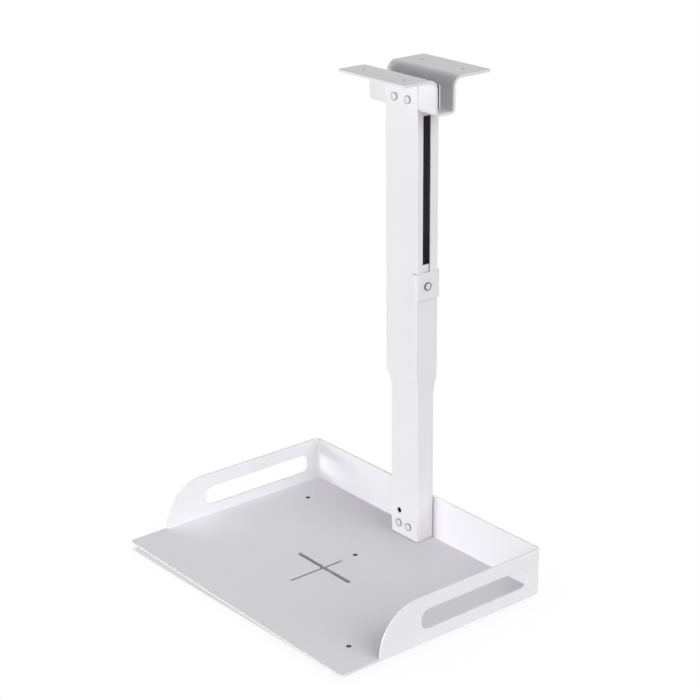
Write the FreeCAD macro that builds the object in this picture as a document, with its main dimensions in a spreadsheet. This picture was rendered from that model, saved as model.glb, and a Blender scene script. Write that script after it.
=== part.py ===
"""Projector ceiling mount: a hat-shaped ceiling bracket, a telescopic pole and a tray.

Frame: +Z up, millimetres. The ceiling is the plane Z = 0 and the pole's axis is the Z axis.
The tray's back wall is on the +Y side and its open front faces -Y. The pole is fully drawn out.
"""
import FreeCAD, Part
import os
import Sketcher

V = FreeCAD.Vector

# Driving dimensions: alias, value in millimetres, meaning
SIZES = [
    ("bracket_length", 97.5, "ceiling bracket, length along X"),
    ("bracket_sheet", 2.5, "ceiling bracket, sheet thickness"),
    ("bracket_drop", 36.0, "ceiling to the underside of the bracket's channel"),
    ("front_flange_reach", 52.0, "pole axis to the front flange's edge"),
    ("back_flange_reach", 57.5, "pole axis to the back flange's edge"),
    ("flange_bend", 8.0, "inside radius of the flange bends"),
    ("channel_depth", 24.8, "outside depth of the bracket's channel along Y"),
    ("channel_bend", 3.0, "inside radius of the channel's lower bends"),
    ("flange_corner", 1.5, "corner radius of the flanges"),
    ("ceiling_hole", 5.0, "diameter of the ceiling screw holes"),
    ("ceiling_hole_pitch_x", 60.0, "ceiling screw holes, spacing along X"),
    ("ceiling_hole_pitch_y", 74.0, "ceiling screw holes, spacing along Y"),
    ("outer_width", 47.5, "outer pole, size along X"),
    ("outer_depth", 28.0, "outer pole, size along Y"),
    ("outer_wall", 1.2, "outer pole, wall thickness"),
    ("outer_corner", 1.5, "outer pole, outside corner radius"),
    ("outer_end", 325.0, "ceiling to the outer pole's mouth"),
    ("tab_top", 10.6, "ceiling to the top of the outer pole's front tab"),
    ("rear_top", 28.0, "ceiling to the top of the outer pole's rear wall"),
    ("neck_length", 8.5, "height over which the outer pole narrows"),
    ("collar_length", 5.0, "height of the straight collar below the outer pole's neck"),
    ("mouth_lip", 0.5, "wall thickness at the mouth"),
    ("pole_clearance", 0.4, "running gap between the poles on the slotted side and at the mouth"),
    ("slot_width", 9.6, "height adjustment slot, width"),
    ("slot_top", 40.5, "ceiling to the slot's upper end"),
    ("slot_play", 2.0, "slot left below the lock screw at full length"),
    ("slot_offset", 1.5, "pole axis to the slot's middle, towards the front"),
    ("side_play", 3.7, "room beside the inner pole, away from the slotted side"),
    ("depth_play", 1.55, "room before and behind the inner pole"),
    ("inner_wall", 1.2, "inner pole, wall thickness"),
    ("inner_corner", 1.6, "inner pole, outside corner radius"),
    ("inner_top", 191.0, "ceiling to the inner pole's upper end"),
    ("floor_level", 494.0, "ceiling to the tray floor's upper face"),
    ("tray_width", 354.0, "tray, outside width"),
    ("tray_depth", 251.0, "tray, outside depth"),
    ("tray_wall", 47.0, "height of the tray's walls over its floor"),
    ("tray_sheet", 2.0, "tray, sheet thickness"),
    ("tray_gap", 0.7, "gap between the inner pole and the tray's back wall"),
    ("foot_gap", 0.6, "gap between the inner pole's lower end and the tray's floor"),
    ("tray_corner", 4.5, "outside radius of the upright back corners"),
    ("tray_bend", 1.5, "inside radius between the tray's floor and walls"),
    ("front_corner", 5.0, "corner radius of the tray's front edge"),
    ("wall_setback", 45.5, "front edge to the foot of the side walls"),
    ("handle_length", 138.0, "side wall opening, length"),
    ("handle_height", 21.0, "side wall opening, height"),
    ("handle_corner", 9.0, "side wall opening, corner radius"),
    ("handle_rise", 11.0, "tray floor to the side wall opening"),
    ("handle_back", 86.0, "tray's back face to the middle of the side wall opening"),
    ("cross_back", 133.0, "tray's back face to the middle of the cross slot"),
    ("cross_arm", 42.5, "length of the cross slot's side and front arms"),
    ("cross_rear_arm", 24.5, "length of the cross slot's rear arm"),
    ("cross_slot", 5.0, "width of the cross slot"),
    ("tray_hole", 5.0, "diameter of the small holes in the tray floor"),
    ("tray_hole_x", 139.5, "tray's middle to the outlying holes, along X"),
    ("left_hole_y", 88.5, "cross slot to the left outlying hole, towards the back"),
    ("right_hole_y", 79.5, "cross slot to the right outlying hole, towards the front"),
    ("middle_hole_y", 42.0, "cross slot to the hole behind it"),
    ("screw_thread", 4.0, "screws, shank diameter"),
    ("screw_hole", 4.6, "clearance hole for a screw"),
    ("head_across", 6.4, "screws, head diameter"),
    ("head_height", 0.9, "screws, head height"),
    ("socket_across", 2.0, "screws, hexagon socket across flats"),
    ("socket_depth", 0.6, "screws, socket depth"),
    ("washer_across", 8.4, "cup washers, diameter"),
    ("washer_sheet", 0.4, "cup washers, thickness under the screw's head"),
    ("cup_play", 0.1, "gap between a screw's head and its cup washer, all round"),
    ("nut_across", 7.0, "nuts, across flats"),
    ("nut_height", 3.2, "nuts, height"),
    ("nut_play", 0.1, "gap between a nut's bore and the shank, all round"),
    ("shank_spare", 1.5, "shank standing out of its nut"),
    ("head_pitch", 19.6, "spacing of the two screws at the bracket"),
    ("head_drop", 25.6, "ceiling to the screws at the bracket"),
    ("pad_sheet", 1.5, "backing pad, thickness"),
    ("strip_sheet", 1.5, "backing strip, sheet thickness"),
    ("strip_top", 6.0, "ceiling to the upper edges of the backing pad and strip"),
    ("strip_bottom", 29.0, "ceiling to the lower edges of the backing pad and strip"),
    ("strip_corner", 1.0, "corner radius of the backing pad and strip"),
    ("foot_pitch", 14.8, "spacing of the two screws at the tray"),
    ("foot_rise", 13.7, "tray floor to the screws at the tray"),
    ("spare_hole", 6.0, "diameter of the hole over the left foot screw"),
    ("spare_rise", 28.0, "tray floor to the hole over the left foot screw"),
    ("angle_sheet", 2.5, "foot angle, sheet thickness"),
    ("angle_play", 2.3, "room between the foot angle's ends and the inner pole"),
    ("angle_height", 21.0, "foot angle, height of the upright leg"),
    ("angle_reach", 15.0, "foot angle, length of the leg on the floor"),
    ("lock_drop", 212.5, "ceiling to the lock screw"),
    ("plate_height", 28.4, "lock plate, height"),
    ("plate_sheet", 1.6, "lock plate, sheet thickness"),
    ("plate_lip", 5.5, "how far the lock plate's lips reach over the front and back"),
    ("plate_play", 0.3, "running gap between the lock plate and the outer pole"),
]


class Size:
    """A length that carries its formula for the sheet along with its value."""

    def __init__(self, text, value):
        self.text = text
        self.value = value

    def __add__(self, other):
        other = as_size(other)
        return Size("(%s + %s)" % (self.text, other.text), self.value + other.value)

    def __sub__(self, other):
        other = as_size(other)
        return Size("(%s - %s)" % (self.text, other.text), self.value - other.value)

    def __mul__(self, factor):
        factor = as_size(factor)
        return Size("(%s * %s)" % (self.text, factor.text), self.value * factor.value)

    def __truediv__(self, factor):
        factor = as_size(factor)
        return Size("(%s / %s)" % (self.text, factor.text), self.value / factor.value)

    def __neg__(self):
        return Size("(0 - %s)" % self.text, -self.value)

    __radd__ = __add__

    def __rsub__(self, other):
        return as_size(other) - self


def as_size(value):
    return value if isinstance(value, Size) else Size("%g" % value, float(value))


doc = FreeCAD.newDocument("projector_mount")
sheet = doc.addObject("Spreadsheet::Sheet", "Sizes")
for row, (alias, value, meaning) in enumerate(SIZES, start=1):
    sheet.set("A%d" % row, meaning)
    sheet.set("B%d" % row, "%g" % value)
    sheet.setAlias("B%d" % row, alias)
doc.recompute()

SUB_PARTS = []


def size(alias):
    """The named cell of the sheet as a Size."""
    return Size("Sizes.%s" % alias, float(sheet.get(alias)))


def bind(obj, prop, length):
    obj.setExpression(prop, as_size(length).text)


def new_body(label, x=0, y=0, z=0):
    """An empty body whose Label names its file, moved to a place given by Sizes."""
    body = doc.addObject("PartDesign::Body", label)
    body.Label = label
    for axis, place in zip("xyz", (x, y, z)):
        if isinstance(place, Size):
            bind(body, "Placement.Base.%s" % axis, place)
    SUB_PARTS.append(body)
    return body


def new_sketch(body, name, plane, offset=0):
    """A sketch on one of the body's own origin planes, lifted along the plane's normal."""
    sketch = body.newObject("Sketcher::SketchObject", "%s_%s" % (body.Label, name))
    for feature in body.Origin.OriginFeatures:
        if feature.Role == plane:
            sketch.AttachmentSupport = [(feature, "")]
    sketch.MapMode = "FlatFace"
    if isinstance(offset, Size):
        bind(sketch, "AttachmentOffset.Base.z", offset)
    return sketch


def pin_point(sketch, geometry, end, x, y):
    """Hold one end of a sketch line at a place given by two Sizes."""
    for kind, length in (("DistanceX", as_size(x)), ("DistanceY", as_size(y))):
        index = sketch.addConstraint(Sketcher.Constraint(kind, -1, 1, geometry, end, length.value))
        sketch.setExpression("Constraints[%d]" % index, length.text)


def draw_polygon(sketch, points):
    """A closed outline of straight lines through points given by Sizes."""
    spots = [V(as_size(x).value, as_size(y).value, 0) for x, y in points]
    first = sketch.GeometryCount
    for start, stop in zip(spots, spots[1:] + spots[:1]):
        sketch.addGeometry(Part.LineSegment(start, stop), False)
    for step, (x, y) in enumerate(points):
        following = first + (step + 1) % len(points)
        sketch.addConstraint(Sketcher.Constraint("Coincident", first + step, 2, following, 1))
        pin_point(sketch, first + step, 1, x, y)


def draw_rounded(sketch, x0, x1, y0, y1, radius):
    """A rectangle between the given sides whose four corners are arcs."""
    radius = as_size(radius)
    starts = [(x0 + radius, y0), (x1, y0 + radius), (x1 - radius, y1), (x0, y1 - radius)]
    stops = [(x1 - radius, y0), (x1, y1 - radius), (x0 + radius, y1), (x0, y0 + radius)]
    centres = [(x1 - radius, y0 + radius), (x1 - radius, y1 - radius),
               (x0 + radius, y1 - radius), (x0 + radius, y0 + radius)]
    quarter = 1.5707963267948966
    first = sketch.GeometryCount
    for side in range(4):
        start = V(starts[side][0].value, starts[side][1].value, 0)
        stop = V(stops[side][0].value, stops[side][1].value, 0)
        centre = V(centres[side][0].value, centres[side][1].value, 0)
        circle = Part.Circle(centre, V(0, 0, 1), radius.value)
        turn = (side - 1) * quarter
        sketch.addGeometry(Part.LineSegment(start, stop), False)
        sketch.addGeometry(Part.ArcOfCircle(circle, turn, turn + quarter), False)
    for side in range(4):
        line = first + 2 * side
        following = first + (2 * side + 2) % 8
        sketch.addConstraint(Sketcher.Constraint("Tangent", line, 2, line + 1, 1))
        sketch.addConstraint(Sketcher.Constraint("Coincident", line + 1, 2, following, 1))
        pin_point(sketch, line, 1, *starts[side])
        pin_point(sketch, line, 2, *stops[side])


def draw_circle(sketch, x, y, diameter):
    x, y, diameter = as_size(x), as_size(y), as_size(diameter)
    circle = Part.Circle(V(x.value, y.value, 0), V(0, 0, 1), diameter.value / 2)
    index = sketch.addGeometry(circle, False)
    pin_point(sketch, index, 3, x, y)
    rim = sketch.addConstraint(Sketcher.Constraint("Diameter", index, diameter.value))
    sketch.setExpression("Constraints[%d]" % rim, diameter.text)


def add_pad(body, sketch, length, midplane=False, reverse=False):
    pad = body.newObject("PartDesign::Pad", sketch.Name + "_pad")
    pad.Profile = sketch
    bind(pad, "Length", length)
    pad.Midplane = midplane
    pad.Reversed = reverse
    sketch.Visibility = False
    doc.recompute()
    return pad


def add_pocket(body, sketch, length=None, midplane=False, reverse=False):
    """Cut a sketch into the body; with no length it cuts through everything."""
    before = body.Shape.Volume
    pocket = body.newObject("PartDesign::Pocket", sketch.Name + "_cut")
    pocket.Profile = sketch
    if length is None:
        pocket.Type = "ThroughAll"
    else:
        bind(pocket, "Length", length)
    pocket.Midplane = midplane
    pocket.Reversed = reverse
    sketch.Visibility = False
    doc.recompute()
    if body.Shape.Volume > before - 1e-6:
        raise RuntimeError("%s cuts nothing" % pocket.Name)
    return pocket


def add_fillet(body, radius, wanted):
    """Round the edges of the body's tip that the test picks out."""
    base = body.Tip
    names = ["Edge%d" % number for number, edge in enumerate(base.Shape.Edges, start=1) if wanted(edge)]
    if not names:
        raise RuntimeError("no edge to round on %s" % body.Label)
    fillet = body.newObject("PartDesign::Fillet", base.Name + "_round")
    fillet.Base = (base, names)
    bind(fillet, "Radius", radius)
    doc.recompute()
    if "Invalid" in fillet.State:
        raise RuntimeError("%s cannot be rounded" % base.Name)
    return fillet


def runs_along(edge, axis):
    """True for a straight edge parallel to the axis X, Y or Z."""
    if len(edge.Vertexes) != 2 or not isinstance(edge.Curve, Part.Line):
        return False
    along = edge.Vertexes[1].Point - edge.Vertexes[0].Point
    along.normalize()
    return abs(getattr(along, axis)) > 0.9999


def near(value, length):
    return abs(value - as_size(length).value) < 1e-4


# Places shared by several pieces
HALF_OUTER_X = size("outer_width") / 2
HALF_OUTER_Y = size("outer_depth") / 2
BORE_WIDTH = size("outer_width") - size("outer_wall") * 2
BORE_DEPTH = size("outer_depth") - size("outer_wall") * 2
HALF_INNER_X = (BORE_WIDTH - size("pole_clearance") - size("side_play")) / 2
HALF_INNER_Y = BORE_DEPTH / 2 - size("depth_play")
INNER_RIGHT = BORE_WIDTH / 2 - size("pole_clearance")
INNER_MIDDLE = INNER_RIGHT - HALF_INNER_X
BRACKET_FRONT = size("outer_wall") - HALF_OUTER_Y
BRACKET_BACK = BRACKET_FRONT + size("channel_depth")
PAD_FACE = BRACKET_FRONT + size("bracket_sheet")
STRIP_FACE = PAD_FACE + size("pad_sheet")
TRAY_BACK = HALF_INNER_Y + size("tray_gap") + size("tray_sheet")
PLATE_FACE = HALF_OUTER_X + size("plate_play") + size("plate_sheet")
CHANNEL_OUTSIDE = size("channel_bend") + size("bracket_sheet")
LOCK_Y = -size("slot_offset")
LOCK_Z = -size("lock_drop")


def make_ceiling_bracket():
    """One bent sheet: two flanges against the ceiling and a channel hanging between them."""
    body = new_body("ceiling_bracket")
    sheet_t = size("bracket_sheet")
    front_in = BRACKET_FRONT + sheet_t
    back_in = BRACKET_BACK - sheet_t
    profile = new_sketch(body, "profile", "YZ_Plane")
    draw_polygon(profile, [
        (-size("front_flange_reach"), as_size(0)),
        (-size("front_flange_reach"), -sheet_t),
        (BRACKET_FRONT, -sheet_t),
        (BRACKET_FRONT, -size("bracket_drop")),
        (BRACKET_BACK, -size("bracket_drop")),
        (BRACKET_BACK, -sheet_t),
        (size("back_flange_reach"), -sheet_t),
        (size("back_flange_reach"), as_size(0)),
        (back_in, as_size(0)),
        (back_in, sheet_t - size("bracket_drop")),
        (front_in, sheet_t - size("bracket_drop")),
        (front_in, as_size(0)),
    ])
    add_pad(body, profile, size("bracket_length"), midplane=True)

    def bend(z, *places):
        return lambda edge: (runs_along(edge, "x") and near(edge.Vertexes[0].Z, z)
                             and any(near(edge.Vertexes[0].Y, place) for place in places))

    add_fillet(body, size("flange_bend"), bend(-sheet_t, BRACKET_FRONT, BRACKET_BACK))
    add_fillet(body, size("flange_bend") + sheet_t, bend(as_size(0), front_in, back_in))
    add_fillet(body, size("channel_bend"), bend(sheet_t - size("bracket_drop"), front_in, back_in))
    add_fillet(body, CHANNEL_OUTSIDE, bend(-size("bracket_drop"), BRACKET_FRONT, BRACKET_BACK))

    def flange_corner(edge):
        y = edge.Vertexes[0].Y
        at_edge = near(y, -size("front_flange_reach")) or near(y, size("back_flange_reach"))
        return runs_along(edge, "z") and at_edge

    add_fillet(body, size("flange_corner"), flange_corner)
    holes = new_sketch(body, "ceiling_holes", "XY_Plane")
    for sign_x in (-1, 1):
        for sign_y in (-1, 1):
            draw_circle(holes, size("ceiling_hole_pitch_x") / 2 * sign_x,
                        size("ceiling_hole_pitch_y") / 2 * sign_y, size("ceiling_hole"))
    add_pocket(body, holes, sheet_t)
    screws = new_sketch(body, "screw_holes", "XZ_Plane")
    for sign in (-1, 1):
        draw_circle(screws, size("head_pitch") / 2 * sign, -size("head_drop"), size("screw_hole"))
    add_pocket(body, screws, HALF_OUTER_Y, reverse=True)
    return body


def make_backing(label, face, thickness):
    """A flat strip inside the channel, as long as the bracket, that the two head screws pass."""
    body = new_body(label)
    half = size("bracket_length") / 2
    outline = new_sketch(body, "outline", "XZ_Plane", -face)
    draw_rounded(outline, -half, half, -size("strip_bottom"), -size("strip_top"), size("strip_corner"))
    add_pad(body, outline, thickness, reverse=True)
    holes = new_sketch(body, "holes", "XZ_Plane", -face)
    for sign in (-1, 1):
        draw_circle(holes, size("head_pitch") / 2 * sign, -size("head_drop"), size("screw_hole"))
    add_pocket(body, holes, thickness * 2, midplane=True)
    return body


def make_outer_pole():
    """A rectangular tube with a narrowed mouth, a front tab for the bracket and a side slot."""
    body = new_body("outer_pole")
    wall = size("outer_wall")
    collar_top = size("collar_length") - size("outer_end")
    neck_top = collar_top + size("neck_length")
    mouth_left = INNER_MIDDLE - HALF_INNER_X - size("pole_clearance")
    mouth_right = INNER_RIGHT + size("pole_clearance")
    mouth_y = HALF_INNER_Y + size("pole_clearance")
    lip = size("mouth_lip")

    tube = new_sketch(body, "tube", "XY_Plane", neck_top)
    draw_rounded(tube, -HALF_OUTER_X, HALF_OUTER_X, -HALF_OUTER_Y, HALF_OUTER_Y, size("outer_corner"))
    add_pad(body, tube, -neck_top - size("tab_top"))

    neck_start = new_sketch(body, "neck_start", "XY_Plane", neck_top)
    draw_rounded(neck_start, -HALF_OUTER_X, HALF_OUTER_X, -HALF_OUTER_Y, HALF_OUTER_Y, size("outer_corner"))
    neck_end = new_sketch(body, "neck_end", "XY_Plane", collar_top)
    draw_rounded(neck_end, mouth_left - lip, mouth_right + lip, -mouth_y - lip, mouth_y + lip,
                 size("inner_corner") + lip)
    add_loft(body, "PartDesign::AdditiveLoft", neck_start, neck_end)

    bore_start = new_sketch(body, "bore_start", "XY_Plane", neck_top)
    draw_rounded(bore_start, wall - HALF_OUTER_X, HALF_OUTER_X - wall, wall - HALF_OUTER_Y,
                 HALF_OUTER_Y - wall, size("outer_corner") - wall)
    bore_end = new_sketch(body, "bore_end", "XY_Plane", collar_top)
    draw_rounded(bore_end, mouth_left, mouth_right, -mouth_y, mouth_y, size("inner_corner"))
    add_loft(body, "PartDesign::SubtractiveLoft", bore_start, bore_end)

    collar = new_sketch(body, "collar", "XY_Plane", -size("outer_end"))
    draw_rounded(collar, mouth_left - lip, mouth_right + lip, -mouth_y - lip, mouth_y + lip,
                 size("inner_corner") + lip)
    draw_rounded(collar, mouth_left, mouth_right, -mouth_y, mouth_y, size("inner_corner"))
    add_pad(body, collar, size("collar_length"))

    bore = new_sketch(body, "bore", "XY_Plane", neck_top)
    draw_rounded(bore, wall - HALF_OUTER_X, HALF_OUTER_X - wall, wall - HALF_OUTER_Y,
                 HALF_OUTER_Y - wall, size("outer_corner") - wall)
    add_pocket(body, bore, -neck_top, reverse=True)

    head = new_sketch(body, "head_notch", "YZ_Plane")
    draw_rounded(head, BRACKET_FRONT, BRACKET_BACK, -size("bracket_drop"), size("bracket_drop"), CHANNEL_OUTSIDE)
    add_pocket(body, head, size("outer_width") * 2, midplane=True)
    rear = new_sketch(body, "rear_cut", "YZ_Plane")
    draw_polygon(rear, [
        (BRACKET_BACK - wall, -size("rear_top")), (size("outer_depth"), -size("rear_top")),
        (size("outer_depth"), as_size(0)), (BRACKET_BACK - wall, as_size(0)),
    ])
    add_pocket(body, rear, size("outer_width") * 2, midplane=True)

    screws = new_sketch(body, "screw_holes", "XZ_Plane")
    for sign in (-1, 1):
        draw_circle(screws, size("head_pitch") / 2 * sign, -size("head_drop"), size("screw_hole"))
    add_pocket(body, screws, size("outer_depth"), reverse=True)

    slot = new_sketch(body, "slot", "YZ_Plane")
    slot_end = LOCK_Z - size("screw_thread") / 2 - size("slot_play")
    draw_rounded(slot, LOCK_Y - size("slot_width") / 2, LOCK_Y + size("slot_width") / 2, slot_end,
                 -size("slot_top"), wall / 2)
    add_pocket(body, slot, size("outer_width"), reverse=True)
    return body


def add_loft(body, kind, start, stop):
    loft = body.newObject(kind, start.Name + "_loft")
    loft.Profile = start
    loft.Sections = [stop]
    loft.Ruled = True
    start.Visibility = False
    stop.Visibility = False
    doc.recompute()
    return loft


def make_inner_pole():
    """The rectangular tube that slides in the outer pole and stands on the tray."""
    body = new_body("inner_pole", x=INNER_MIDDLE)
    wall = size("inner_wall")
    foot = size("foot_gap") - size("floor_level")
    tube = new_sketch(body, "tube", "XY_Plane", foot)
    draw_rounded(tube, -HALF_INNER_X, HALF_INNER_X, -HALF_INNER_Y, HALF_INNER_Y, size("inner_corner"))
    draw_rounded(tube, wall - HALF_INNER_X, HALF_INNER_X - wall, wall - HALF_INNER_Y,
                 HALF_INNER_Y - wall, size("inner_corner") - wall)
    add_pad(body, tube, -foot - size("inner_top"))
    front = new_sketch(body, "front_holes", "XZ_Plane")
    for sign in (-1, 1):
        draw_circle(front, size("foot_pitch") / 2 * sign, size("foot_rise") - size("floor_level"),
                    size("screw_hole"))
    draw_circle(front, -(size("foot_pitch") / 2), size("spare_rise") - size("floor_level"),
                size("spare_hole"))
    add_pocket(body, front, size("outer_depth"), reverse=True)
    side = new_sketch(body, "lock_hole", "YZ_Plane")
    draw_circle(side, LOCK_Y, LOCK_Z, size("screw_hole"))
    add_pocket(body, side, size("outer_width"), reverse=True)
    return body


def make_tray():
    """One folded sheet: a floor with a back wall and two side walls that curve down at the front."""
    body = new_body("tray", INNER_MIDDLE, TRAY_BACK, -size("floor_level"))
    t = size("tray_sheet")
    half = size("tray_width") / 2
    depth = size("tray_depth")
    wall = size("tray_wall")

    outline = new_sketch(body, "outline", "XY_Plane", -t)
    draw_polygon(outline, [(-half, -depth), (half, -depth), (half, as_size(0)), (-half, as_size(0))])
    add_pad(body, outline, wall + t)
    add_fillet(body, size("tray_corner"), lambda edge: runs_along(edge, "z") and near(edge.Vertexes[0].Y, 0))
    add_fillet(body, size("front_corner"),
               lambda edge: runs_along(edge, "z") and near(edge.Vertexes[0].Y, -depth))

    inside = new_sketch(body, "inside", "XY_Plane")
    draw_rounded(inside, t - half, half - t, -depth * 2, -t, size("tray_corner") - t)
    add_pocket(body, inside, wall, reverse=True)

    nose = new_sketch(body, "nose", "YZ_Plane")
    draw_nose(nose, size("wall_setback") - depth, depth, wall)
    add_pocket(body, nose, size("tray_width") * 2, midplane=True)

    def floor_line(level, inset):
        """Edges at a level that run round the foot of the walls, straight or curved."""
        def wanted(edge):
            box = edge.BoundBox
            if abs(box.ZMax - level) > 1e-4 or abs(box.ZMin - level) > 1e-4:
                return False
            on_side = (max(abs(box.XMin), abs(box.XMax)) > half.value - inset - 1e-4
                       and edge.Length > size("wall_setback").value)
            on_back = box.YMax > -inset - 1e-4
            behind = box.YMin > (size("wall_setback") - depth).value - 1e-3
            return (on_side or on_back) and behind
        return wanted

    add_fillet(body, size("tray_bend"), floor_line(0, t.value))

    handles = new_sketch(body, "handles", "YZ_Plane")
    middle = -size("handle_back")
    draw_rounded(handles, middle - size("handle_length") / 2, middle + size("handle_length") / 2,
                 size("handle_rise"), size("handle_rise") + size("handle_height"), size("handle_corner"))
    add_pocket(body, handles, size("tray_width") * 2, midplane=True)

    floor = new_sketch(body, "floor_cuts", "XY_Plane")
    cross = -size("cross_back")
    arm = size("cross_arm")
    rear = cross + size("cross_rear_arm")
    slit = size("cross_slot") / 2
    draw_polygon(floor, [
        (-arm, cross - slit), (-slit, cross - slit), (-slit, cross - arm), (slit, cross - arm),
        (slit, cross - slit), (arm, cross - slit), (arm, cross + slit), (slit, cross + slit),
        (slit, rear), (-slit, rear), (-slit, cross + slit), (-arm, cross + slit),
    ])
    draw_circle(floor, -size("tray_hole_x"), cross + size("left_hole_y"), size("tray_hole"))
    draw_circle(floor, size("tray_hole_x"), cross - size("right_hole_y"), size("tray_hole"))
    draw_circle(floor, 0, cross + size("middle_hole_y"), size("tray_hole"))
    add_pocket(body, floor, t * 2, midplane=True)
    return body


def draw_nose(sketch, foot, reach, height):
    """The outline cut away before the side walls: a quarter circle rising from foot to height."""
    crown = foot + height
    top = height * 2
    spots = [(crown, height), (crown, top), (foot - reach, top), (foot - reach, as_size(0)), (foot, as_size(0))]
    points = [V(x.value, y.value, 0) for x, y in spots]
    for start, stop in zip(points, points[1:]):
        sketch.addGeometry(Part.LineSegment(start, stop), False)
    centre = V(crown.value, 0, 0)
    quarter = 1.5707963267948966
    circle = Part.Circle(centre, V(0, 0, 1), height.value)
    arc = sketch.addGeometry(Part.ArcOfCircle(circle, quarter, 2 * quarter), False)
    for line in range(3):
        sketch.addConstraint(Sketcher.Constraint("Coincident", line, 2, line + 1, 1))
    sketch.addConstraint(Sketcher.Constraint("Coincident", 3, 2, arc, 2))
    sketch.addConstraint(Sketcher.Constraint("Coincident", arc, 1, 0, 1))
    for line, (x, y) in enumerate(spots[:4]):
        pin_point(sketch, line, 1, x, y)
    pin_point(sketch, 3, 2, *spots[4])
    axis = sketch.addConstraint(Sketcher.Constraint("DistanceX", -1, 1, arc, 3, crown.value))
    sketch.setExpression("Constraints[%d]" % axis, crown.text)


def make_foot_angle():
    """The small angle on the tray floor, inside the pole, that the foot screws hold."""
    body = new_body("foot_angle", INNER_MIDDLE, size("inner_wall") - HALF_INNER_Y, -size("floor_level"))
    t = size("angle_sheet")
    profile = new_sketch(body, "profile", "YZ_Plane")
    draw_polygon(profile, [
        (as_size(0), as_size(0)), (size("angle_reach"), as_size(0)), (size("angle_reach"), t), (t, t),
        (t, size("angle_height")), (as_size(0), size("angle_height")),
    ])
    add_pad(body, profile, (HALF_INNER_X - size("inner_wall") - size("angle_play")) * 2, midplane=True)
    add_fillet(body, t / 2, lambda edge: runs_along(edge, "x") and near(edge.Vertexes[0].Y, t)
               and near(edge.Vertexes[0].Z, t))
    holes = new_sketch(body, "holes", "XZ_Plane")
    for sign in (-1, 1):
        draw_circle(holes, size("foot_pitch") / 2 * sign, size("foot_rise"), size("screw_hole"))
    add_pocket(body, holes, t * 2, midplane=True)
    return body


def make_lock_plate():
    """A bent saddle on the slotted side, drawn up by the lock screw."""
    body = new_body("lock_plate")
    play = size("plate_play")
    t = size("plate_sheet")
    out_x, out_y = PLATE_FACE, HALF_OUTER_Y + play + t
    in_x, in_y = HALF_OUTER_X + play, HALF_OUTER_Y + play
    lip_x = HALF_OUTER_X - size("plate_lip")
    profile = new_sketch(body, "profile", "XY_Plane", LOCK_Z - size("plate_height") / 2)
    draw_polygon(profile, [
        (lip_x, -out_y), (out_x, -out_y), (out_x, out_y), (lip_x, out_y),
        (lip_x, in_y), (in_x, in_y), (in_x, -in_y), (lip_x, -in_y),
    ])
    add_pad(body, profile, size("plate_height"))
    add_fillet(body, size("outer_corner") + play,
               lambda edge: runs_along(edge, "z") and near(edge.Vertexes[0].X, in_x))
    add_fillet(body, size("outer_corner") + play + t,
               lambda edge: runs_along(edge, "z") and near(edge.Vertexes[0].X, out_x))
    hole = new_sketch(body, "hole", "YZ_Plane")
    draw_circle(hole, LOCK_Y, LOCK_Z, size("screw_hole"))
    add_pocket(body, hole, size("outer_width"), reverse=True)
    return body


def turn_to(body, axis, degrees):
    """Turn a body that was drawn along +Z so that its head points the right way."""
    body.Placement = FreeCAD.Placement(body.Placement.Base, FreeCAD.Rotation(axis, degrees))


FRONT = (V(1, 0, 0), 90)
SIDE = (V(0, 1, 0), 90)


def make_screw(label, facing, grip, x, y, z):
    """A thin-head screw drawn with its seat at Z = 0, head up and shank down."""
    body = new_body(label)
    turn_to(body, *facing)
    bind_place(body, x, y, z)
    rim = size("head_across") / 2
    shank = size("screw_thread") / 2
    height = size("head_height")
    profile = new_sketch(body, "profile", "XZ_Plane")
    draw_polygon(profile, [
        (as_size(0), -grip), (shank, -grip), (shank, as_size(0)), (rim, as_size(0)),
        (rim, height), (as_size(0), height),
    ])
    turned = body.newObject("PartDesign::Revolution", label + "_turned")
    turned.Profile = profile
    turned.ReferenceAxis = (profile, ["V_Axis"])
    turned.Angle = 360
    profile.Visibility = False
    doc.recompute()
    add_fillet(body, height / 3, lambda edge: near(edge.BoundBox.ZMin, height)
               and near(edge.BoundBox.ZMax, height))
    socket = new_sketch(body, "socket", "XY_Plane", height)
    draw_hexagon(socket, size("socket_across"))
    add_pocket(body, socket, size("socket_depth"))
    return body


def bind_place(body, x, y, z):
    for axis, place in zip("xyz", (x, y, z)):
        bind(body, "Placement.Base.%s" % axis, place)


HEX_CORNERS = [(1, 0), (0.5, 1), (-0.5, 1), (-1, 0), (-0.5, -1), (0.5, -1)]
ROOT_3 = 1.7320508075688772


def draw_hexagon(sketch, across):
    """A regular hexagon given by its size across flats."""
    draw_polygon(sketch, [(across / ROOT_3 * x, across / 2 * y) for x, y in HEX_CORNERS])


def make_washer(label, facing, x, y, z):
    """A cup washer whose rim stands level with the top of the screw's head."""
    body = new_body(label)
    turn_to(body, *facing)
    bind_place(body, x, y, z)
    ring = new_sketch(body, "ring", "XY_Plane")
    draw_circle(ring, 0, 0, size("washer_across"))
    draw_circle(ring, 0, 0, size("screw_hole"))
    add_pad(body, ring, size("washer_sheet") + size("head_height"))
    cup = new_sketch(body, "cup", "XY_Plane", size("washer_sheet"))
    draw_circle(cup, 0, 0, size("head_across") + size("cup_play") * 2)
    add_pocket(body, cup, size("head_height"), reverse=True)
    return body


def make_nut(label, facing, x, y, z):
    """A hexagon nut drawn below its seat at Z = 0."""
    body = new_body(label)
    turn_to(body, *facing)
    bind_place(body, x, y, z)
    block = new_sketch(body, "hexagon", "XY_Plane", -size("nut_height"))
    draw_hexagon(block, size("nut_across"))
    draw_circle(block, 0, 0, size("screw_thread") + size("nut_play") * 2)
    add_pad(body, block, size("nut_height"))
    return body


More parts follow.
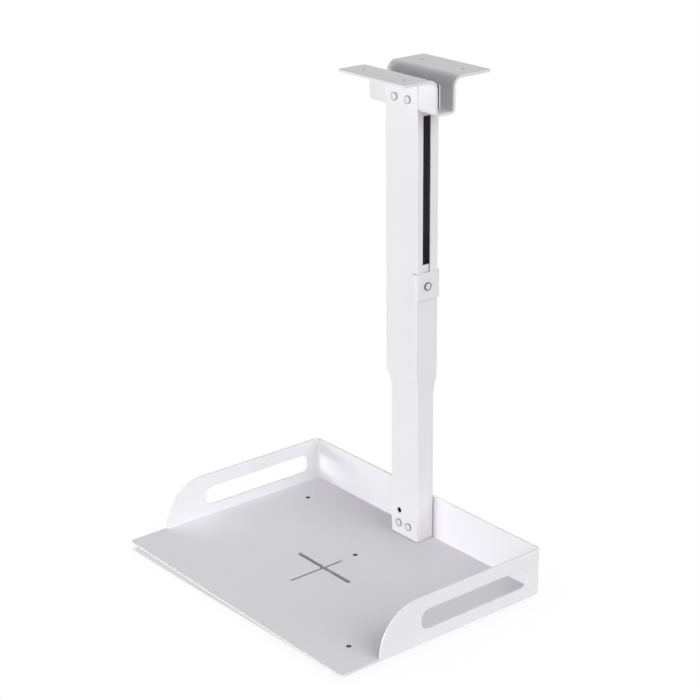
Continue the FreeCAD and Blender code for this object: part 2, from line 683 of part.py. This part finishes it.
def make_fastener(name, facing, seat, stack, place):
    """Cup washer, screw and nut through a stack of sheets; place maps a depth to X, Y and Z."""
    washer = size("washer_sheet")
    make_washer(name("washer"), facing, *place(seat))
    make_screw(name("screw"), facing, washer + stack + size("nut_height") + size("shank_spare"),
               *place(seat + washer))
    make_nut(name("nut"), facing, *place(seat - stack))


def make_front_pair(where, seat, stack, middle, pitch, level):
    """Two fasteners side by side with their heads at the front."""
    for side, sign in (("left", -1), ("right", 1)):
        make_fastener(lambda kind, side=side: "%s_%s_%s" % (where, kind, side), FRONT, seat, stack,
                      lambda depth, sign=sign: (middle + pitch / 2 * sign, -depth, level))


def check_and_write():
    """Stop on any failed object or bad shape, then write one STEP file for each sub-part."""
    doc.recompute()
    for obj in doc.Objects:
        if "Invalid" in obj.State or "Error" in obj.State:
            raise RuntimeError("%s failed: %s" % (obj.Name, obj.State))
    os.makedirs("parts", exist_ok=True)
    for body in SUB_PARTS:
        shape = body.Shape
        if shape.isNull() or not shape.isValid() or len(shape.Solids) != 1:
            raise RuntimeError("%s has a bad shape" % body.Label)
    for body in SUB_PARTS:
        body.Shape.exportStep(os.path.join("parts", body.Label + ".step"))
        box = body.Shape.BoundBox
        print("%-20s %9.0f mm3  X %.1f %.1f  Y %.1f %.1f  Z %.1f %.1f" % (
            body.Label, body.Shape.Volume, box.XMin, box.XMax, box.YMin, box.YMax, box.ZMin, box.ZMax))


make_ceiling_bracket()
make_backing("backing_pad", PAD_FACE, size("pad_sheet"))
make_backing("backing_strip", STRIP_FACE, size("strip_sheet"))
make_outer_pole()
make_inner_pole()
make_tray()
make_foot_angle()
make_lock_plate()
make_front_pair("head", HALF_OUTER_Y, HALF_OUTER_Y + STRIP_FACE + size("strip_sheet"),
                as_size(0), size("head_pitch"), -size("head_drop"))
make_front_pair("foot", HALF_INNER_Y, size("inner_wall") + size("angle_sheet"),
                INNER_MIDDLE, size("foot_pitch"), size("foot_rise") - size("floor_level"))
make_fastener(lambda kind: "lock_" + kind, SIDE, PLATE_FACE, PLATE_FACE - INNER_RIGHT + size("inner_wall"),
              lambda depth: (depth, LOCK_Y, LOCK_Z))
check_and_write()
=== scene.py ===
"""Finishes, stage, light and camera for a white projector ceiling mount.

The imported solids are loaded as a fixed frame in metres, with the ceiling at Z = 0 and +Z up.
"""
import math

import bpy
from mathutils import Matrix, Vector


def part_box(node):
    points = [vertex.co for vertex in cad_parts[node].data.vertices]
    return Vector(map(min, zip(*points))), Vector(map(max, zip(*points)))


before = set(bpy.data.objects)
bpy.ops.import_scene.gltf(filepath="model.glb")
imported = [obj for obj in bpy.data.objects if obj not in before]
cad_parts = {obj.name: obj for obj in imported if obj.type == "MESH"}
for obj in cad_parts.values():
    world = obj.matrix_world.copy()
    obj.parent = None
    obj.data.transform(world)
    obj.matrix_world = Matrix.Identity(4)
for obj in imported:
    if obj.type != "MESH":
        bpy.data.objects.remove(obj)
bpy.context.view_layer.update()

bl_info = {
    "name": "Projector ceiling mount",
    "version": (1, 0, 0),
    "blender": (4, 5, 0),
    "location": "View3D > Sidebar > Mount",
    "description": "Paints the pieces of a projector ceiling mount and sets up its studio",
    "category": "Object",
}

# The mount's pieces by their finish
BRACKET = ("ceiling_bracket", "backing_strip")
TRAY = "tray"
LOCK_PLATE = "lock_plate"
TUBES = ("outer_pole", "inner_pole")
PAD = "backing_pad"
SCREWS = ("head_screw_left", "head_screw_right", "foot_screw_left", "foot_screw_right", "lock_screw")
PLATED = ("head_washer_left", "head_washer_right", "foot_washer_left", "foot_washer_right",
          "head_nut_left", "head_nut_right", "foot_nut_left", "foot_nut_right", "lock_nut", "foot_angle")
LOCK_WASHER = "lock_washer"

# The tray's small holes, in metres: across from its middle and along from its back face
TRAY_HOLES = ((-0.1395, -0.0445), (0.0, -0.0910), (0.1395, -0.2125))

# Reaches of the painted shade in the holes, the painted highlight on the walls' tops and the bare tube
# walls, in metres, and the least upward lean of a wall's top
HOLE_REACH = 0.0026
RIM_OVER_FLOOR = 0.012
RIM_UPWARD = 0.3
TUBE_SKIN = 0.0008
COATED_NECK = 0.0150

# In the finishes below, noise scales are per metre, tones are factors on a colour and depths are in metres

# Powder coat, the bare steel under it and the painted shade in the tray's holes
COAT_DRIFT_SCALE = 9.0
COAT_DRIFT_RANGE = (0.30, 0.70)
COAT_FLOW_SCALE = 55.0
COAT_GRAINS_PER_DIMPLE = 5.0
COAT_TONES = (0.985, 1.012)
COAT_FLOW_ROUGHNESS = 0.16
COAT_GRAIN_ROUGHNESS = 0.10
COAT_DIMPLE_SHARE = 0.75
COAT_DEPTH = 0.00003
BARE_AND_SHADE_STREAK_SCALE = 240.0
BARE_AND_SHADE_TONES = (0.7, 1.4)

# Screw enamel
ENAMEL_FILM_SCALE = 1500.0
ENAMEL_DRIFT_SCALE = 300.0
ENAMEL_TONES = (0.97, 1.02)
ENAMEL_ROUGHNESS = 0.30
ENAMEL_ROUGHNESS_SPREAD = 0.16
ENAMEL_EDGE_SHARE = 0.5
ENAMEL_DEPTH = 0.00002

# Zinc plate
ZINC_SPANGLE_SCALE = 700.0
ZINC_SPANGLE_RANGE = (0.35, 0.65)
ZINC_MARK_SCALE = 4200.0
ZINC_TONES = (0.88, 1.10)
ZINC_ROUGHNESS = 0.34
ZINC_ROUGHNESS_SPREAD = 0.18
ZINC_EDGE_SHARE = 0.4
ZINC_DEPTH = 0.00001

# Sheet rubber
RUBBER_BLOOM_SCALE = 160.0
RUBBER_BLOOM_RANGE = (0.45, 0.75)
RUBBER_GRAIN_SCALE = 2600.0
RUBBER_TONES = (1.0, 2.2)
RUBBER_ROUGHNESS = 0.72
RUBBER_ROUGHNESS_SPREAD = 0.2
RUBBER_EDGE_SHARE = 0.4
RUBBER_DEPTH = 0.00004

# Half the floor's side, in metres
FLOOR_REACH = 14.0

# The floor's painted shadow under the tray: distances from the tray's edges in metres, a share and a slope
LINE_START = 0.003
LINE_FULL = 0.001
LINE_SHARE = 0.38
LINE_SLOPE = 0.027
COVER_START = 0.011
COVER_FULL = 0.016
COVER_FADE = 0.006
RIGHT_INSET = 0.013
RIGHT_FADE = 0.009

# Shares of open space above the floor at which its painted shadow is full and gone
SHADE_FULL = 0.40
SHADE_GONE = 0.85

# The two soft lights' bearings from the tray's front, heights and radii, in degrees
RIGHT_GLOW = {"azimuth": 92.0, "elevation": 27.0, "core": 12.0, "spread": 40.0}
BACK_GLOW = {"azimuth": 180.0, "elevation": 38.0, "core": 20.0, "spread": 60.0}


class Wire:
    """A node's socket for use in expressions: each operation adds a Math node to its tree."""

    def __init__(self, graph, socket):
        self.graph = graph
        self.socket = socket

    def math(self, operation, *values):
        return self.graph.node("ShaderNodeMath", {"operation": operation}, dict(enumerate(values)))

    def __add__(self, other):
        return self.math("ADD", self, other)

    def __sub__(self, other):
        return self.math("SUBTRACT", self, other)

    def __rsub__(self, other):
        return self.math("SUBTRACT", other, self)

    def __mul__(self, other):
        return self.math("MULTIPLY", self, other)

    def __lt__(self, other):
        return self.math("LESS_THAN", self, other)

    def __gt__(self, other):
        return self.math("GREATER_THAN", self, other)

    def __abs__(self):
        return self.math("ABSOLUTE", self)

    __radd__ = __add__
    __rmul__ = __mul__


class Graph:
    """A material's or world's node tree, emptied and ready to be filled."""

    def __init__(self, owner):
        owner.use_nodes = True
        self.tree = owner.node_tree
        self.tree.nodes.clear()

    def node(self, kind, settings=None, sockets=None, out=0):
        """Add a node, apply its settings first, then fill or link its sockets."""
        node = self.tree.nodes.new(kind)
        for name, value in (settings or {}).items():
            setattr(node, name, value)
        for name, value in (sockets or {}).items():
            if isinstance(value, Wire):
                self.tree.links.new(value.socket, node.inputs[name])
            else:
                node.inputs[name].default_value = value
        return Wire(self, node.outputs[out]) if node.outputs else None

    def axes(self, vector):
        """The three parts of a vector."""
        parts = self.node("ShaderNodeSeparateXYZ", None, {0: vector}).socket.node.outputs
        return [Wire(self, part) for part in parts]

    def noise(self, place, scale, detail=2.0, roughness=0.5):
        return self.node("ShaderNodeTexNoise", None, {
            "Vector": place, "Scale": scale, "Detail": detail, "Roughness": roughness}, "Fac")

    def rise(self, value, start, stop):
        """0 up to start, 1 from stop on and straight between; start may be the higher of the two."""
        return self.node("ShaderNodeMapRange", None, {"Value": value, "From Min": start, "From Max": stop})

    def blend(self, share, first, second):
        """Mix two colours."""
        return self.node("ShaderNodeMix", {"data_type": "RGBA"}, {0: share, 6: first, 7: second}, 2)

    def tones(self, share, colour, factors):
        """Mix a colour's two tones, each the colour times a factor."""
        first, second = (opaque([channel * factor for channel in colour]) for factor in factors)
        return self.blend(share, first, second)

    def mix_shaders(self, share, first, second):
        return self.node("ShaderNodeMixShader", None, {0: share, 1: first, 2: second})

    def output(self, shader, kind="ShaderNodeOutputMaterial"):
        self.node(kind, None, {"Surface": shader})


def opaque(colour):
    return (*colour, 1.0)


class MountFinish(bpy.types.PropertyGroup):
    """Colours and surface detail of the mount."""

    pole_coat: bpy.props.FloatVectorProperty(
        name="Pole coat", description="Colour of the powder coat on the poles and the lock plate",
        subtype="COLOR", default=(0.80, 0.791, 0.807), min=0.0, max=1.0)
    # Darker than the poles' coat: painted shade on the bracket and its strip
    shaded_bracket_coat: bpy.props.FloatVectorProperty(
        name="Bracket coat", description="Colour of the powder coat on the bracket and its strip",
        subtype="COLOR", default=(0.76, 0.751, 0.768), min=0.0, max=1.0)
    # Lighter than the poles' coat as painted light, and a little cooler in tint
    lit_tray_coat: bpy.props.FloatVectorProperty(
        name="Tray coat", description="Colour of the powder coat on the tray",
        subtype="COLOR", default=(0.864, 0.856, 0.887), min=0.0, max=1.0)
    # A painted highlight along the tops of the tray's walls, lighter than the tray's coat
    rim_highlight: bpy.props.FloatVectorProperty(
        name="Rim coat", description="Colour of the thicker powder along the tops of the tray's walls",
        subtype="COLOR", default=(0.99, 0.98, 1.0), min=0.0, max=1.0)
    coat_roughness: bpy.props.FloatProperty(
        name="Coat roughness", description="Mean roughness of the powder coat",
        subtype="FACTOR", default=0.46, min=0.0, max=1.0)
    peel: bpy.props.FloatProperty(
        name="Orange peel", description="Size of the soft dimples in the powder coat",
        subtype="DISTANCE", unit="LENGTH", default=0.0009, min=0.0001)
    edge: bpy.props.FloatProperty(
        name="Edge radius", description="Radius by which the coat softens sharp sheet edges",
        subtype="DISTANCE", unit="LENGTH", default=0.0006, min=0.0)
    bare_tube: bpy.props.FloatVectorProperty(
        name="Bare tube", description="Colour of the uncoated insides of the two poles",
        subtype="COLOR", default=(0.33, 0.32, 0.34), min=0.0, max=1.0)
    # Painted shade on the walls of the tray's small holes
    hole_shade: bpy.props.FloatVectorProperty(
        name="Bare hole", description="Colour of the uncoated walls of the tray's small holes",
        subtype="COLOR", default=(0.11, 0.11, 0.115), min=0.0, max=1.0)
    screw: bpy.props.FloatVectorProperty(
        name="Screw paint", description="Colour of the painted screws",
        subtype="COLOR", default=(0.80, 0.80, 0.81), min=0.0, max=1.0)
    zinc: bpy.props.FloatVectorProperty(
        name="Zinc", description="Colour of the plated washers, nuts and angle",
        subtype="COLOR", default=(0.38, 0.38, 0.39), min=0.0, max=1.0)
    lock_zinc: bpy.props.FloatVectorProperty(
        name="Lock zinc", description="Colour of the darker plating on the lock's washer",
        subtype="COLOR", default=(0.171, 0.171, 0.1755), min=0.0, max=1.0)
    # Near black, which also stands in for the shade in the gap between the bracket's front wall and its
    # strip
    rubber: bpy.props.FloatVectorProperty(
        name="Rubber", description="Colour of the pad behind the bracket's front wall",
        subtype="COLOR", default=(0.018, 0.018, 0.019), min=0.0, max=1.0)


class MountStage(bpy.types.PropertyGroup):
    """Studio and camera."""

    floor_level: bpy.props.FloatProperty(
        name="Floor level", description="Height of the studio floor, with the ceiling at 0",
        subtype="DISTANCE", unit="LENGTH", default=-0.502)
    floor_colour: bpy.props.FloatVectorProperty(
        name="Floor", description="Colour of the studio floor", subtype="COLOR",
        default=(0.62, 0.62, 0.62), min=0.0, max=1.0)
    shadow_depth: bpy.props.FloatProperty(
        name="Shadow depth", description="Share of white that the floor loses where the mount covers it",
        subtype="FACTOR", default=0.08, min=0.0, max=1.0)
    shadow_reach: bpy.props.FloatProperty(
        name="Shadow reach", description="How far round the mount the floor keeps its soft shadow",
        subtype="DISTANCE", unit="LENGTH", default=0.12, min=0.0)
    cover: bpy.props.FloatProperty(
        name="Cover", description="How far below the tray the floor still loses its white",
        subtype="DISTANCE", unit="LENGTH", default=0.03, min=0.0)
    # The floor under the tray glows at this brightness as a painted shadow
    painted_shadow_brightness: bpy.props.FloatProperty(
        name="Under the tray", description="Brightness of the floor that the tray covers",
        subtype="FACTOR", default=0.22, min=0.0, max=1.0)
    right_light: bpy.props.FloatProperty(
        name="Right light", description="Strength of the soft light on the lock screw's side",
        default=2.9, min=0.0)
    back_light: bpy.props.FloatProperty(
        name="Back light", description="Strength of the wide soft light behind the mount",
        default=1.15, min=0.0)
    front_power: bpy.props.FloatProperty(
        name="Front light", description="Power of the low strip light before the tray",
        subtype="POWER", unit="POWER", default=69.0, min=0.0)
    strip_place: bpy.props.FloatVectorProperty(
        name="Strip place", description="Where the middle of the strip light is", subtype="TRANSLATION",
        unit="LENGTH", default=(-0.40, -3.0, -0.29))
    strip_width: bpy.props.FloatProperty(
        name="Strip width", description="Width of the strip light", subtype="DISTANCE", unit="LENGTH",
        default=2.5, min=0.1)
    strip_height: bpy.props.FloatProperty(
        name="Strip height", description="Height of the strip light", subtype="DISTANCE", unit="LENGTH",
        default=0.40, min=0.1)
    camera_place: bpy.props.FloatVectorProperty(
        name="Camera place", description="Where the camera stands", subtype="TRANSLATION", unit="LENGTH",
        default=(1.31375, -1.1359, 0.3770))
    camera_azimuth: bpy.props.FloatProperty(
        name="Azimuth", description="Camera's bearing round the mount", subtype="ANGLE", unit="ROTATION",
        default=math.radians(51.21))
    camera_elevation: bpy.props.FloatProperty(
        name="Elevation", description="Camera's angle above the horizon", subtype="ANGLE", unit="ROTATION",
        default=math.radians(20.94))
    camera_roll: bpy.props.FloatProperty(
        name="Roll", description="Camera's turn about its view", subtype="ANGLE", unit="ROTATION",
        default=math.radians(-0.576))
    focal_length: bpy.props.FloatProperty(
        name="Focal length", description="Lens, for a 36 mm wide sensor", subtype="DISTANCE_CAMERA",
        default=94.25, min=1.0)


def dress(material, *names):
    """Give CAD nodes one material."""
    for name in names:
        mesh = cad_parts[name].data
        mesh.materials.clear()
        mesh.materials.append(material)


def new_finish(name):
    """A new material, its node tree and the place on the piece that carries it."""
    material = bpy.data.materials.new(name)
    graph = Graph(material)
    return material, graph, graph.node("ShaderNodeTexCoord", out="Object")


def soft_edges(graph, radius, height, depth):
    """A bump over edges that are rounded by a small radius."""
    rounded = graph.node("ShaderNodeBevel", {"samples": 6}, {"Radius": radius})
    return graph.node("ShaderNodeBump", None, {
        "Strength": 1.0, "Distance": depth, "Height": height, "Normal": rounded})


def powder_coat(name, finish, coat, uncoated=None, bare=None, rim=None):
    """Powder coat in a colour: soft dimples, fine grain and slight drifts of tone and gloss.

    The uncoated mask shows a streaked colour: bare steel in the tubes and painted shade on the walls of the
    tray's holes. The rim mask shows a painted highlight along the tops of the tray's walls.
    """
    material, graph, place = new_finish(name)
    dimples = graph.noise(place, 1.0 / finish.peel, detail=1.5)
    grain = graph.noise(place, COAT_GRAINS_PER_DIMPLE / finish.peel, detail=1.0)
    drift = graph.noise(place, COAT_DRIFT_SCALE, detail=3.0)
    flow = graph.noise(place, COAT_FLOW_SCALE)
    colour = graph.tones(graph.rise(drift, *COAT_DRIFT_RANGE), coat, COAT_TONES)
    if rim is not None:
        # Painted highlight along the tops of the tray's walls
        colour = graph.blend(rim(graph, place), colour, opaque(finish.rim_highlight))
    # Bare steel inside the tubes, and painted shade on the walls of the tray's holes
    if uncoated is not None:
        streaks = graph.noise(place, BARE_AND_SHADE_STREAK_SCALE, detail=3.0)
        colour = graph.blend(uncoated(graph, place), colour, graph.tones(streaks, bare, BARE_AND_SHADE_TONES))
    roughness = (finish.coat_roughness + (flow - 0.5) * COAT_FLOW_ROUGHNESS
                 + (grain - 0.5) * COAT_GRAIN_ROUGHNESS)
    relief = dimples * COAT_DIMPLE_SHARE + grain * (1.0 - COAT_DIMPLE_SHARE)
    graph.output(graph.node("ShaderNodeBsdfPrincipled", None, {
        "Base Color": colour, "Roughness": roughness, "Specular IOR Level": 0.45,
        "Normal": soft_edges(graph, finish.edge, relief, COAT_DEPTH)}))
    return material


def painted_screw(finish):
    """White enamel with a soft film texture and slight drifts of tone and gloss."""
    material, graph, place = new_finish("screw_enamel")
    film = graph.noise(place, ENAMEL_FILM_SCALE)
    drift = graph.noise(place, ENAMEL_DRIFT_SCALE)
    graph.output(graph.node("ShaderNodeBsdfPrincipled", None, {
        "Base Color": graph.tones(drift, finish.screw, ENAMEL_TONES),
        "Roughness": ENAMEL_ROUGHNESS + drift * ENAMEL_ROUGHNESS_SPREAD,
        "Normal": soft_edges(graph, finish.edge * ENAMEL_EDGE_SHARE, film, ENAMEL_DEPTH)}))
    return material


def zinc_plate(name, finish, zinc):
    """Zinc plating in a colour, with a mottled spangle and fine turning marks."""
    material, graph, place = new_finish(name)
    spangle = graph.noise(place, ZINC_SPANGLE_SCALE, detail=3.0)
    marks = graph.noise(place, ZINC_MARK_SCALE)
    graph.output(graph.node("ShaderNodeBsdfPrincipled", None, {
        "Base Color": graph.tones(graph.rise(spangle, *ZINC_SPANGLE_RANGE), zinc, ZINC_TONES),
        "Metallic": 1.0,
        "Roughness": ZINC_ROUGHNESS + spangle * ZINC_ROUGHNESS_SPREAD,
        "Normal": soft_edges(graph, finish.edge * ZINC_EDGE_SHARE, marks, ZINC_DEPTH)}))
    return material


def black_rubber(finish):
    """Matt black sheet rubber with a fine talc bloom and a cut-sheet grain; its near-black also stands in
    for the shade in the gap between the bracket's front wall and its strip.
    """
    material, graph, place = new_finish("black_rubber")
    bloom = graph.noise(place, RUBBER_BLOOM_SCALE, detail=4.0, roughness=0.6)
    grain = graph.noise(place, RUBBER_GRAIN_SCALE)
    graph.output(graph.node("ShaderNodeBsdfPrincipled", None, {
        "Base Color": graph.tones(graph.rise(bloom, *RUBBER_BLOOM_RANGE), finish.rubber, RUBBER_TONES),
        "Roughness": RUBBER_ROUGHNESS + bloom * RUBBER_ROUGHNESS_SPREAD,
        "Normal": soft_edges(graph, finish.edge * RUBBER_EDGE_SHARE, grain, RUBBER_DEPTH)}))
    return material


def shaded_holes(low, high):
    """A mask that is 1 on the walls of the tray's small holes, where shade is painted, for the tray in the
    given box.
    """

    def mask(graph, place):
        x, y, _ = graph.axes(place)
        marked = 0.0
        for across, behind in TRAY_HOLES:
            aside = x - ((low.x + high.x) / 2 + across)
            along = y - (high.y + behind)
            marked = marked + (aside * aside + along * along < HOLE_REACH * HOLE_REACH)
        return marked

    return mask


def painted_rim_highlight(low):
    """A mask that is 1 on the tops of the tray's walls, where a highlight is painted, for a tray that starts
    at the given corner.
    """

    def mask(graph, place):
        upward = graph.axes(graph.node("ShaderNodeNewGeometry", out="True Normal"))[2]
        return (upward > RIM_UPWARD) * (graph.axes(place)[2] > low.z + RIM_OVER_FLOOR)

    return mask


def bare_bore(low, high):
    """A mask that is 1 on the walls inside a tube that fills the given box, above its coated neck."""

    def mask(graph, place):
        x, y, z = graph.axes(place)
        across = abs(x - (low.x + high.x) / 2) < (high.x - low.x) / 2 - TUBE_SKIN
        along = abs(y - (low.y + high.y) / 2) < (high.y - low.y) / 2 - TUBE_SKIN
        return across * along * (z > low.z + COATED_NECK)

    return mask


class MOUNT_OT_coat_sheet(bpy.types.Operator):
    """Powder-coat the bracket, its strip, the tray and the lock plate, with painted shade on the bracket and
    in the tray's holes and painted light on the tray and its rims
    """

    bl_idname = "mount.coat_sheet"
    bl_label = "Coat the sheet pieces"

    def execute(self, context):
        finish = context.scene.mount_finish
        # The bracket's darker coat is painted shade
        dress(powder_coat("shaded_powder_coat_bracket", finish, finish.shaded_bracket_coat), *BRACKET)
        low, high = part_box(TRAY)
        # Painted shade on the walls of the tray's holes
        holes = shaded_holes(low, high)
        # Painted highlight on the tops of the tray's walls
        rims = painted_rim_highlight(low)
        # The tray's lighter coat is painted light
        coat = powder_coat("lit_powder_coat_tray", finish, finish.lit_tray_coat, holes, finish.hole_shade, rims)
        dress(coat, TRAY)
        dress(powder_coat("powder_coat_plate", finish, finish.pole_coat), LOCK_PLATE)
        return {"FINISHED"}


class MOUNT_OT_coat_poles(bpy.types.Operator):
    """Powder-coat the two poles and leave the insides of their tubes bare"""

    bl_idname = "mount.coat_poles"
    bl_label = "Coat the poles"

    def execute(self, context):
        finish = context.scene.mount_finish
        for name in TUBES:
            bore = bare_bore(*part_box(name))
            coat = powder_coat("powder_coat_" + name, finish, finish.pole_coat, bore, finish.bare_tube)
            dress(coat, name)
        return {"FINISHED"}


class MOUNT_OT_cut_pad(bpy.types.Operator):
    """Give the pad behind the bracket's front wall its black rubber, which also stands in for the shade in
    the gap there
    """

    bl_idname = "mount.cut_pad"
    bl_label = "Cut the pad"

    def execute(self, context):
        dress(black_rubber(context.scene.mount_finish), PAD)
        return {"FINISHED"}


class MOUNT_OT_finish_fasteners(bpy.types.Operator):
    """Paint the screws and plate the washers, the nuts and the foot angle"""

    bl_idname = "mount.finish_fasteners"
    bl_label = "Finish the fasteners"

    def execute(self, context):
        finish = context.scene.mount_finish
        dress(painted_screw(finish), *SCREWS)
        dress(zinc_plate("zinc_plate", finish, finish.zinc), *PLATED)
        dress(zinc_plate("zinc_plate_lock", finish, finish.lock_zinc), LOCK_WASHER)
        return {"FINISHED"}


def seen_directly(graph):
    """1 for rays that look at the background, straight or in a gloss, and 0 for rays that gather light."""
    paths = graph.node("ShaderNodeLightPath").socket.node.outputs
    camera, glossy, through = (Wire(graph, paths[name]) for name in (
        "Is Camera Ray", "Is Glossy Ray", "Is Transmission Ray"))
    return (camera + glossy + through) > 0.5


def open_space(graph, distance, samples):
    """The share of open space above the floor, up to a distance."""
    return graph.node("ShaderNodeAmbientOcclusion", {"samples": samples}, {"Distance": distance}, "AO")


def painted_tray_shadow(graph, place):
    """Where the floor takes a painted shadow: 1 well inside the tray's outline, and a share of that along
    and just before its front.
    """
    low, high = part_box(TRAY)
    x, y, _ = graph.axes(place)
    slanted = y - (x - low.x) * LINE_SLOPE
    line = graph.rise(slanted, low.y - LINE_START, low.y - LINE_FULL)
    front = graph.rise(y, low.y + COVER_START, low.y + COVER_FULL)
    back = graph.rise(y, high.y, high.y - COVER_FADE)
    left = graph.rise(x, low.x, low.x + COVER_FADE)
    right = graph.rise(x, high.x - RIGHT_INSET, high.x - RIGHT_INSET - RIGHT_FADE)
    return left * right * back * (line * LINE_SHARE + front * (1.0 - LINE_SHARE))


def floor_finish(stage):
    """A pale floor, white to the camera, that keeps the mount's shadow, glows dimly as a painted shadow
    under the tray and is clear from below.
    """
    material, graph, place = new_finish("studio_floor")
    matte = graph.node("ShaderNodeBsdfDiffuse", None, {"Color": opaque(stage.floor_colour)})
    white = graph.node("ShaderNodeEmission", None, {"Strength": 1.0})
    painted_shadow_glow = graph.node("ShaderNodeEmission", None, {"Strength": stage.painted_shadow_brightness})
    through = graph.node("ShaderNodeBsdfTransparent")
    shadow = (1.0 - open_space(graph, stage.shadow_reach, samples=8)) * stage.shadow_depth
    lit = graph.mix_shaders(seen_directly(graph) * (1.0 - shadow), matte, white)
    openness = open_space(graph, stage.cover, samples=12)
    # Painted shadow under the tray and along its front edge
    shade = painted_tray_shadow(graph, place) * (1.0 - graph.rise(openness, SHADE_FULL, SHADE_GONE))
    from_above = graph.mix_shaders(shade, lit, painted_shadow_glow)
    below = graph.node("ShaderNodeNewGeometry", out="Backfacing")
    graph.output(graph.mix_shaders(below, from_above, through))
    return material


def studio_floor(stage):
    """A wide level floor."""
    mesh = bpy.data.meshes.new("studio_floor")
    corners = [(x * FLOOR_REACH, y * FLOOR_REACH, stage.floor_level)
               for x, y in ((-1, -1), (1, -1), (1, 1), (-1, 1))]
    mesh.from_pydata(corners, [], [(0, 1, 2, 3)])
    mesh.materials.append(floor_finish(stage))
    floor = bpy.data.objects.new("studio_floor", mesh)
    bpy.context.scene.collection.objects.link(floor)


def bearing_vector(azimuth, elevation):
    """The direction to something at a bearing from the tray's front and a height over the horizon."""
    level = math.cos(elevation)
    return Vector((math.sin(azimuth) * level, -math.cos(azimuth) * level, math.sin(elevation)))


def soft_light(graph, way, azimuth, elevation, core, spread):
    """A round glow in the sky: 1 within the core and 0 beyond the spread. All angles are in degrees."""
    aim = bearing_vector(math.radians(azimuth), math.radians(elevation))
    closeness = graph.node("ShaderNodeVectorMath", {"operation": "DOT_PRODUCT"}, {0: way, 1: aim}, "Value")
    return graph.rise(closeness, math.cos(math.radians(spread)), math.cos(math.radians(core)))


def studio_sky(stage):
    """A world that is white to the camera and lights the mount softly from the right and from behind."""
    world = bpy.data.worlds.new("studio")
    bpy.context.scene.world = world
    graph = Graph(world)
    seen = seen_directly(graph)
    way = graph.node("ShaderNodeTexCoord", out="Generated")
    sky = (soft_light(graph, way, **RIGHT_GLOW) * stage.right_light
           + soft_light(graph, way, **BACK_GLOW) * stage.back_light)
    light = graph.node("ShaderNodeBackground", None, {
        "Color": (1.0, 1.0, 1.0, 1.0), "Strength": seen + (1.0 - seen) * sky})
    graph.output(light, "ShaderNodeOutputWorld")


def front_strip(stage):
    """A low strip light before the tray, turned to the mount's axis."""
    lamp = bpy.data.lights.new("front_strip", "AREA")
    lamp.shape = "RECTANGLE"
    lamp.energy = stage.front_power
    lamp.size = stage.strip_width
    lamp.size_y = stage.strip_height
    strip = bpy.data.objects.new("front_strip", lamp)
    bpy.context.scene.collection.objects.link(strip)
    strip.location = stage.strip_place
    outward = Vector((stage.strip_place[0], stage.strip_place[1], 0.0))
    strip.rotation_mode = "QUATERNION"
    strip.rotation_quaternion = outward.to_track_quat("Z", "Y")
    strip.visible_camera = False


def studio_camera(stage):
    """The camera fitted to the photograph, from its place, bearing, elevation and roll."""
    azimuth, elevation, roll = stage.camera_azimuth, stage.camera_elevation, stage.camera_roll
    right = Vector((math.cos(azimuth), math.sin(azimuth), 0.0))
    back = bearing_vector(azimuth, elevation)
    up = back.cross(right)
    side = right * math.cos(roll) + up * math.sin(roll)
    rise = up * math.cos(roll) - right * math.sin(roll)
    data = bpy.data.cameras.new("photo_camera")
    data.lens = stage.focal_length
    data.sensor_width = 36.0
    data.clip_end = 100.0
    camera = bpy.data.objects.new("photo_camera", data)
    bpy.context.scene.collection.objects.link(camera)
    turn = Matrix((side, rise, back)).transposed().to_4x4()
    camera.matrix_world = Matrix.Translation(stage.camera_place) @ turn
    bpy.context.scene.camera = camera


class MOUNT_OT_set_stage(bpy.types.Operator):
    """Lay the floor, hang the lights and place the camera"""

    bl_idname = "mount.set_stage"
    bl_label = "Set the stage"

    def execute(self, context):
        stage = context.scene.mount_stage
        studio_floor(stage)
        studio_sky(stage)
        front_strip(stage)
        studio_camera(stage)
        context.scene.view_settings.view_transform = "Standard"
        return {"FINISHED"}


class MOUNT_PT_panel(bpy.types.Panel):
    """The mount's finishes, stage and steps"""

    bl_idname = "MOUNT_PT_panel"
    bl_label = "Projector ceiling mount"
    bl_space_type = "VIEW_3D"
    bl_region_type = "UI"
    bl_category = "Mount"

    def draw(self, context):
        layout = self.layout
        for group in (context.scene.mount_finish, context.scene.mount_stage):
            for name in group.__annotations__:
                layout.prop(group, name)
        for step in STEPS:
            layout.operator(step.bl_idname)


STEPS = (MOUNT_OT_coat_sheet, MOUNT_OT_coat_poles, MOUNT_OT_cut_pad, MOUNT_OT_finish_fasteners,
         MOUNT_OT_set_stage)
CLASSES = (MountFinish, MountStage, *STEPS, MOUNT_PT_panel)


def register():
    for cls in CLASSES:
        bpy.utils.register_class(cls)
    bpy.types.Scene.mount_finish = bpy.props.PointerProperty(type=MountFinish)
    bpy.types.Scene.mount_stage = bpy.props.PointerProperty(type=MountStage)


def unregister():
    del bpy.types.Scene.mount_stage
    del bpy.types.Scene.mount_finish
    for cls in reversed(CLASSES):
        bpy.utils.unregister_class(cls)


def main():
    """Register the classes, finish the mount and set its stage."""
    register()
    bpy.ops.mount.coat_sheet()
    bpy.ops.mount.coat_poles()
    bpy.ops.mount.cut_pad()
    bpy.ops.mount.finish_fasteners()
    bpy.ops.mount.set_stage()


if __name__ == "__main__":
    main()
